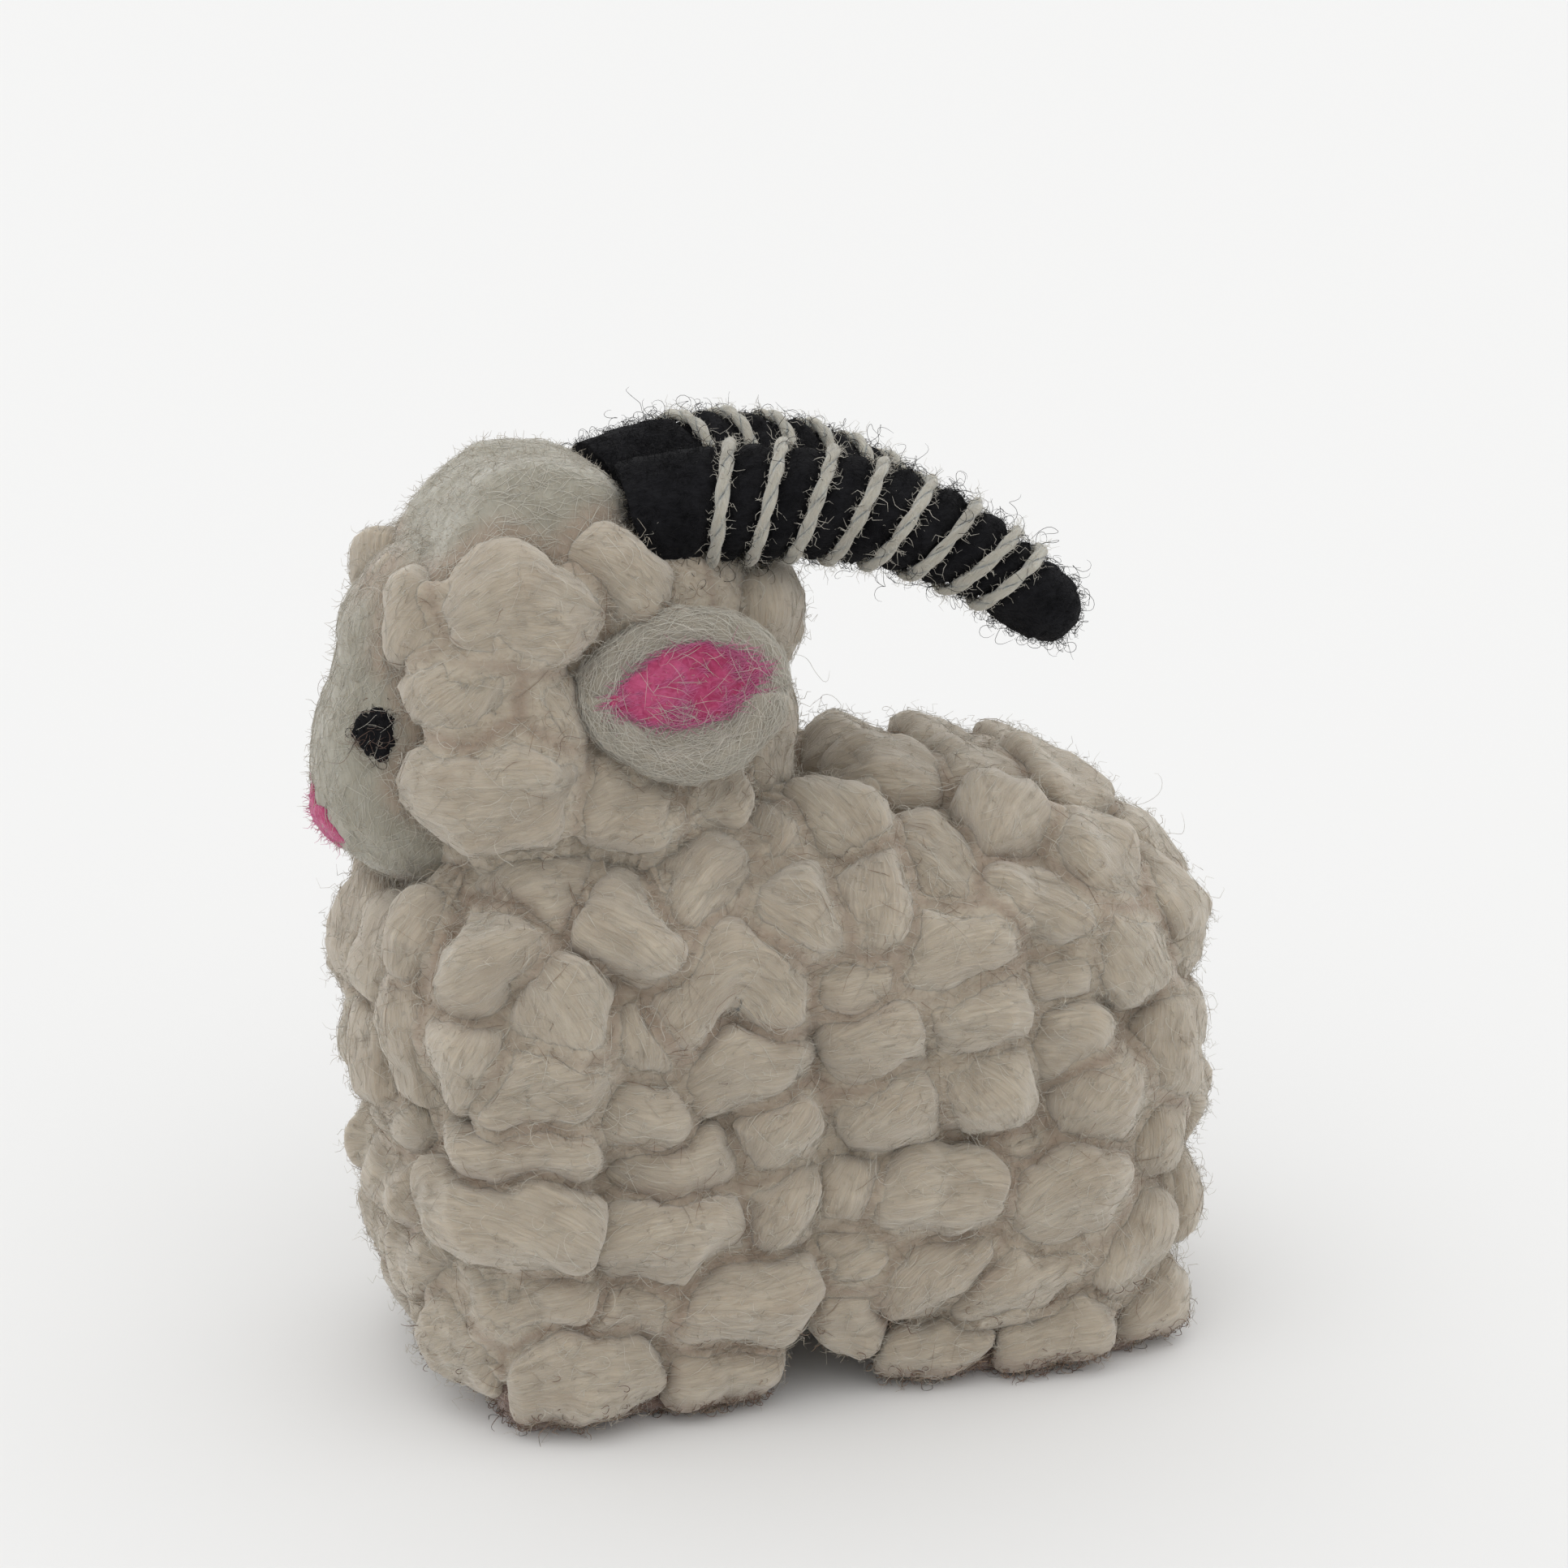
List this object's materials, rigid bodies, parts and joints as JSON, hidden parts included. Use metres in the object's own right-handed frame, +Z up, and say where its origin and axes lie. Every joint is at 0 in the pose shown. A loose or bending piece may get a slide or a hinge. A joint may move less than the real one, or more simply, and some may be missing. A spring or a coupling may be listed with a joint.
{
  "type": "needle-felted goat figure",
  "caption": "Standing goat of needle-felted wool: firm cores under puffy cream locks, black felt horns wound with yarn, pink ear linings and nose.",
  "frame": {"origin": "centre of the bounding box's foot, on the surface that the goat stands on", "axes": "+Z up, the goat faces -Y, its left side is +X"},
  "size_m": [0.0474, 0.093, 0.0983],
  "materials": {
    "curly_wool": "fuzzy puffed wool locks",
    "smooth_wool": "smooth short felted wool",
    "core_wool": "firm felted core wool",
    "black_wool": "black felted wool with stray fibres",
    "pink_wool": "thin felted pink wool",
    "yarn": "plied off-white wool yarn"
  },
  "bodies": {
    "root": {"back_curls": "curly_wool", "body_core": "core_wool", "chest_curls": "curly_wool", "crown_tuft": "smooth_wool", "forehead_curls": "curly_wool", "head_core": "core_wool", "left_cheek_curls": "curly_wool", "left_ear": "smooth_wool", "left_ear_lining": "pink_wool", "left_eye": "black_wool", "left_flank_curls": "curly_wool", "left_front_leg": "core_wool", "left_front_leg_curls": "curly_wool", "left_haunch_curls": "curly_wool", "left_hind_leg": "core_wool", "left_hind_leg_curls": "curly_wool", "left_horn": "black_wool", "left_horn_wrap": "yarn", "left_shoulder_curls": "curly_wool", "muzzle": "smooth_wool", "nape_curls": "curly_wool", "nose": "pink_wool", "right_cheek_curls": "curly_wool", "right_ear": "smooth_wool", "right_ear_lining": "pink_wool", "right_eye": "black_wool", "right_flank_curls": "curly_wool", "right_front_leg": "core_wool", "right_front_leg_curls": "curly_wool", "right_haunch_curls": "curly_wool", "right_hind_leg": "core_wool", "right_hind_leg_curls": "curly_wool", "right_horn": "black_wool", "right_horn_wrap": "yarn", "right_shoulder_curls": "curly_wool", "rump_curls": "curly_wool"}
  },
  "joints": []
}
